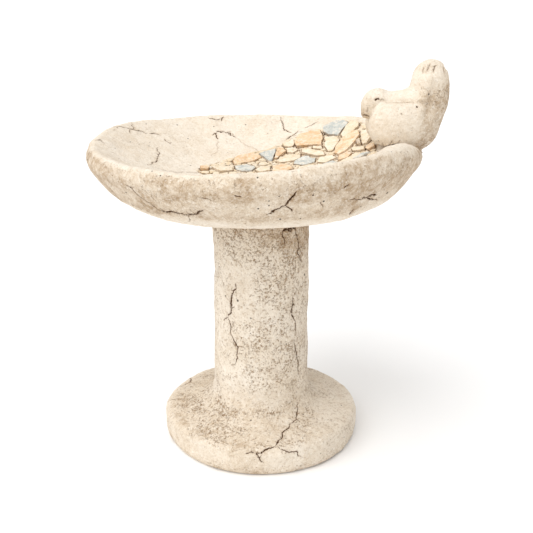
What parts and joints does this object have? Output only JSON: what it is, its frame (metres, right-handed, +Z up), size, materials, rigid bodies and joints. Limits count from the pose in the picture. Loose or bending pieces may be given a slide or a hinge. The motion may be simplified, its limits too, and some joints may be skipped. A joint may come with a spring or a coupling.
{
  "type": "bird bath",
  "caption": "Cast-stone bird bath: a round dish with a small bird on its rim and crazy paving inside, resting on a dowelled column and foot.",
  "frame": {"origin": "middle of the foot's underside, on the column's axis", "axes": "+Z up along the column, +X towards the bird on the rim, -Y towards the viewer's side"},
  "size_m": [0.3563, 0.3356, 0.406],
  "materials": {
    "cast_stone_pedestal": "rough, pitted cast stone with brown patina",
    "cast_stone_basin": "matt cast stone, lightly pitted",
    "cast_stone_bird": "matt cast stone, smooth",
    "dowel_steel": "plain bar",
    "mortar": "rough mortar, stained brown",
    "chip_slate": "matt, blue-grey wash",
    "chip_ochre": "matt, orange-ochre wash",
    "chip_cream": "matt, cream"
  },
  "bodies": {
    "pedestal": {"pedestal": "cast_stone_pedestal"},
    "dowel": {"centre_dowel": "dowel_steel"},
    "dish": {"basin": "cast_stone_basin", "bird": "cast_stone_bird", "bird_pin": "dowel_steel", "mortar_bed": "mortar", "paving_chip_01": "chip_slate", "paving_chip_02": "chip_cream", "paving_chip_03": "chip_ochre", "paving_chip_04": "chip_cream", "paving_chip_05": "chip_ochre", "paving_chip_06": "chip_slate", "paving_chip_07": "chip_ochre", "paving_chip_08": "chip_ochre", "paving_chip_09": "chip_slate", "paving_chip_10": "chip_cream", "paving_chip_11": "chip_cream", "paving_chip_12": "chip_cream", "paving_chip_13": "chip_slate", "paving_chip_14": "chip_cream", "paving_chip_15": "chip_cream", "paving_chip_16": "chip_cream", "paving_chip_17": "chip_cream", "paving_chip_18": "chip_cream", "paving_chip_19": "chip_ochre", "paving_chip_20": "chip_cream", "paving_chip_21": "chip_cream", "paving_chip_22": "chip_ochre", "paving_chip_23": "chip_cream", "paving_chip_24": "chip_ochre", "paving_chip_25": "chip_ochre", "paving_chip_26": "chip_cream", "paving_chip_27": "chip_cream", "paving_chip_28": "chip_slate", "paving_chip_29": "chip_cream", "paving_chip_30": "chip_cream", "paving_chip_31": "chip_ochre", "paving_chip_32": "chip_cream", "paving_chip_33": "chip_slate"}
  },
  "joints": [
    {"name": "basin_turn", "type": "hinge", "parent": "pedestal", "child": "dowel", "pos_m": [0, 0, 0.257], "axis": [0, 0, 1], "continuous": true},
    {"name": "basin_lift", "type": "slide", "parent": "dowel", "child": "dish", "axis": [0, 0, 1], "range_m": [0, 0.06]}
  ]
}
